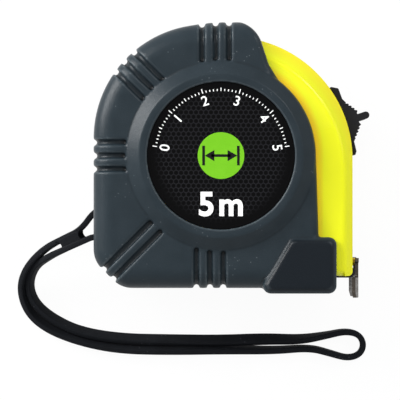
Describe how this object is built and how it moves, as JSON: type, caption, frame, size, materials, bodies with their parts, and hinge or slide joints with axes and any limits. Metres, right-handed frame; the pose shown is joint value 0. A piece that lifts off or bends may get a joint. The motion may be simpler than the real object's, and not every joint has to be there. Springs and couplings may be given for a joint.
{
  "type": "tape measure",
  "caption": "Pocket tape measure with a yellow case, dark rubber jacket, thumb lock on the nose, steel end hook and a wrist strap.",
  "frame": {"origin": "on the reel's axis, in the flat back face that the case lies on", "axes": "+Z along the reel's axis towards the label, +X towards the mouth and the thumb lock, +Y towards the top of the case; the base and its toe face -Y"},
  "size_m": [0.0898, 0.0856, 0.036],
  "materials": {
    "yellow_abs": "smooth moulded ABS, half gloss",
    "jacket_rubber": "moulded rubber, fine matt",
    "label_face": "printed disc",
    "screw_steel": "zinc plated",
    "black_plastic": "black nylon",
    "spring_steel": "blued spring steel",
    "blade_paint": "lacquered steel",
    "hook_steel": "blackened steel",
    "strap_rubber": "soft moulded rubber"
  },
  "bodies": {
    "case": {"front_case": "yellow_abs", "rear_case": "yellow_abs", "front_jacket": "jacket_rubber", "rear_jacket": "jacket_rubber", "front_label": "label_face", "case_screws": "screw_steel", "arbor_post": "black_plastic", "power_spring": "spring_steel", "mouth_bumper": "strap_rubber", "blade_guide": "black_plastic", "strap_post": "black_plastic", "wrist_strap": "strap_rubber", "strap_bridge": "strap_rubber"},
    "reel": {"reel_drum": "black_plastic", "reel_cover": "black_plastic", "blade_coil": "blade_paint"},
    "blade": {"blade_run": "blade_paint", "hook_rivets": "screw_steel"},
    "hook": {"end_hook": "hook_steel"},
    "lock": {"lock_slider": "black_plastic", "lock_arm": "black_plastic", "brake_pad": "strap_rubber"},
    "stop": {"stop_button": "black_plastic", "stop_pad": "strap_rubber", "stop_spring": "spring_steel"}
  },
  "joints": [
    {"name": "reel_spin", "type": "hinge", "parent": "case", "child": "reel", "pos_m": [0, 0, 0.018], "axis": [0, 0, 1], "range_deg": [0, 13295], "stiffness_Nm_per_rad": 0.0007, "springref_deg": -1718.87},
    {"name": "blade_pull", "type": "slide", "parent": "case", "child": "blade", "axis": [1, 0, 0], "range_m": [0, 5]},
    {"name": "hook_float", "type": "slide", "parent": "blade", "child": "hook", "axis": [1, 0, 0], "range_m": [0, 0.001]},
    {"name": "lock_slide", "type": "hinge", "parent": "case", "child": "lock", "pos_m": [0.00229, -0.00076, 0.018], "axis": [0, 0, 1], "range_deg": [-10, 0]},
    {"name": "stop_press", "type": "slide", "parent": "case", "child": "stop", "axis": [0, 1, 0], "range_m": [0, 0.0016], "stiffness_N_per_m": 200, "deforming": ["stop_spring"]}
  ],
  "couplings": [
    {"joint": "blade_pull", "follows": "reel_spin", "m_per_rad": 0.021547}
  ]
}
